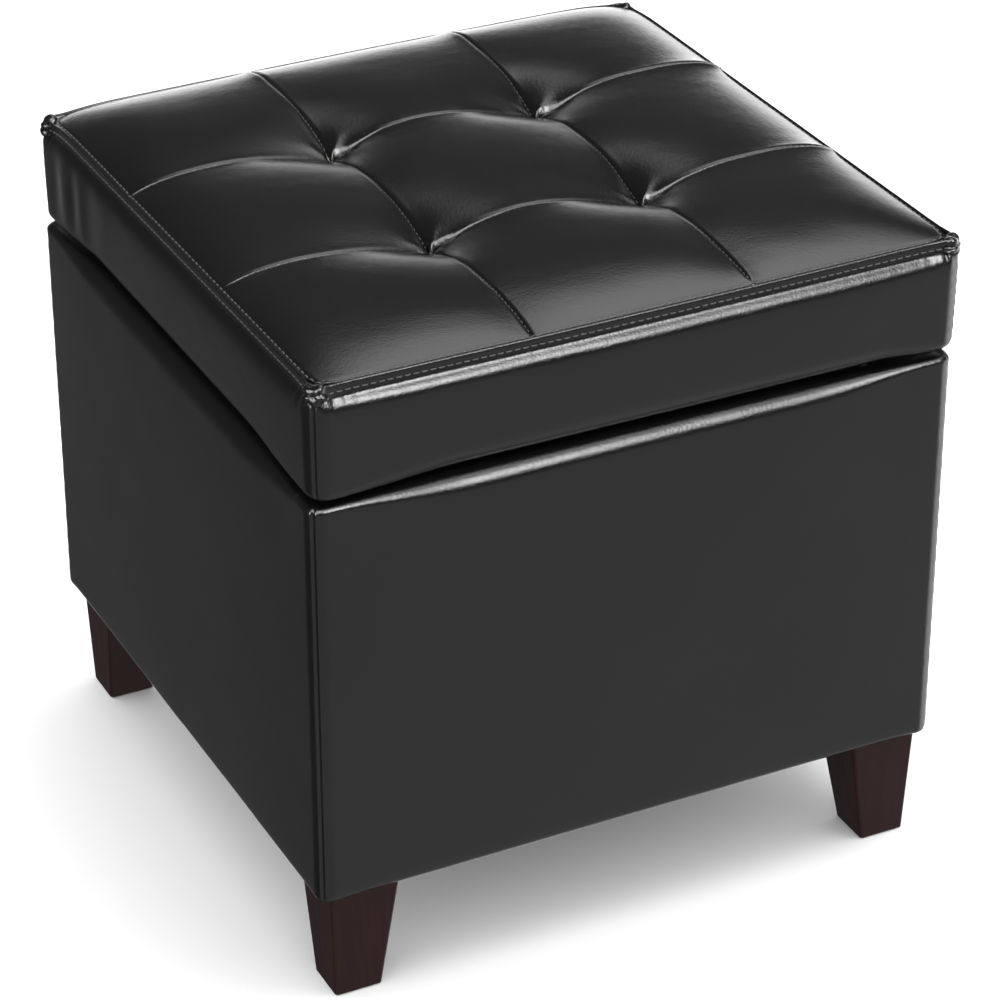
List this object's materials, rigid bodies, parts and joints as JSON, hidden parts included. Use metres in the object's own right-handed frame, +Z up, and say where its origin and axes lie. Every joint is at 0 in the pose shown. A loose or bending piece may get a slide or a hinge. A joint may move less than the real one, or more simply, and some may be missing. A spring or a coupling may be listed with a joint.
{
  "type": "storage ottoman",
  "caption": "Square padded storage ottoman with a thick tufted leather-look lid hinged at the back, on tapered dark wooden legs.",
  "frame": {"origin": "on the floor under the middle of the box", "axes": "+Z up; -Y is the front, +Y the hinged back; +X to the right seen from the front"},
  "size_m": [0.44, 0.44, 0.4475],
  "materials": {
    "black_leathercloth": "glossy coated leather cloth",
    "dark_wood": "satin espresso stain",
    "fibreboard": "raw",
    "softwood": "raw sawn",
    "foam": "open-cell foam",
    "black_lining": "non-woven",
    "zinc_steel": "zinc plated",
    "hinge_steel": "satin steel",
    "glide_felt": "felt",
    "bumper_rubber": "matt",
    "twine": "waxed"
  },
  "bodies": {
    "box": {"back_padding": "foam", "back_panel": "fibreboard", "bottom_dust_cover": "black_lining", "bottom_panel": "fibreboard", "box_cover": "black_leathercloth", "floor_lining": "black_lining", "foot_glides": "glide_felt", "front_padding": "foam", "front_panel": "fibreboard", "hinge_box_leaf_left": "hinge_steel", "hinge_box_leaf_right": "hinge_steel", "hinge_pin_left": "hinge_steel", "hinge_pin_right": "hinge_steel", "hinge_screws_box": "hinge_steel", "left_padding": "foam", "left_panel": "fibreboard", "leg_back_left": "dark_wood", "leg_back_right": "dark_wood", "leg_block_back_left": "softwood", "leg_block_back_right": "softwood", "leg_block_front_left": "softwood", "leg_block_front_right": "softwood", "leg_bolts": "zinc_steel", "leg_front_left": "dark_wood", "leg_front_right": "dark_wood", "leg_tee_nuts": "zinc_steel", "lid_bumpers": "bumper_rubber", "panel_screws": "zinc_steel", "right_padding": "foam", "right_panel": "fibreboard", "storage_floor": "fibreboard", "wall_lining": "black_lining"},
    "lid": {"hinge_lid_leaf_left": "hinge_steel", "hinge_lid_leaf_right": "hinge_steel", "hinge_screws_lid": "hinge_steel", "lid_board": "fibreboard", "lid_dust_cover": "black_lining", "lid_edge_seam": "black_leathercloth", "lid_foam": "foam", "lid_side_band": "black_leathercloth", "lid_top_cover": "black_leathercloth", "tuft_twines": "twine", "tuft_washers": "zinc_steel"}
  },
  "joints": [
    {"name": "lid_hinge", "type": "hinge", "parent": "box", "child": "lid", "pos_m": [0, 0.217, 0.3588], "axis": [-1, 0, 0], "range_deg": [0, 100]}
  ]
}
